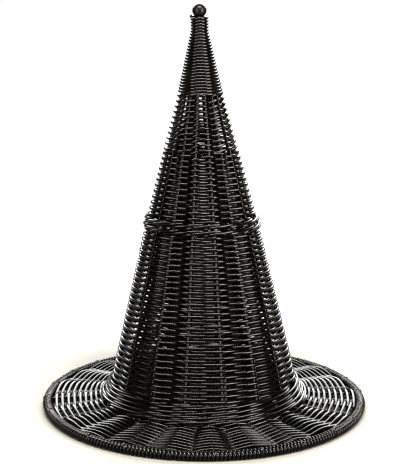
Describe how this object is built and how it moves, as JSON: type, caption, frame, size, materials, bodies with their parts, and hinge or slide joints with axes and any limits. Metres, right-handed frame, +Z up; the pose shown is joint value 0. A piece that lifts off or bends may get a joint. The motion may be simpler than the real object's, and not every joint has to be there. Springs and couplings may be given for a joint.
{
  "type": "witch hat",
  "caption": "Tall pointed witch hat woven in black wicker, with a flat round brim, a wrapped rim, a wrapped tip and a ball finial; hollow and open underneath.",
  "frame": {"origin": "on the ground plane under the middle of the brim", "axes": "+Z up through the tip, -Y is the front, +X to the right of the front"},
  "size_m": [0.35, 0.35, 0.4275],
  "materials": {
    "stake": "black round synthetic rattan, satin gloss",
    "weaver": "black round synthetic rattan, satin gloss with fine lengthwise grain",
    "wrap": "black round synthetic rattan, close wound",
    "finial": "black lacquer, high gloss",
    "plug": "turned hardwood stained black-brown",
    "wire": "plain drawn wire"
  },
  "bodies": {
    "root": {"base_wale": "weaver", "brim_weave": "weaver", "by_stake_01": "stake", "by_stake_02": "stake", "by_stake_03": "stake", "by_stake_04": "stake", "by_stake_05": "stake", "by_stake_06": "stake", "by_stake_07": "stake", "by_stake_08": "stake", "finial_ball": "finial", "finial_pin": "wire", "lower_weave": "weaver", "middle_wale": "weaver", "rim_hoop": "wire", "rim_wrap": "wrap", "stake_01": "stake", "stake_02": "stake", "stake_03": "stake", "stake_04": "stake", "stake_05": "stake", "stake_06": "stake", "stake_07": "stake", "stake_08": "stake", "stake_09": "stake", "stake_10": "stake", "stake_11": "stake", "stake_12": "stake", "stake_13": "stake", "stake_14": "stake", "stake_15": "stake", "stake_16": "stake", "tip_plug": "plug", "tip_wrap": "wrap", "twined_weave": "weaver", "upper_weave": "weaver"}
  },
  "joints": []
}
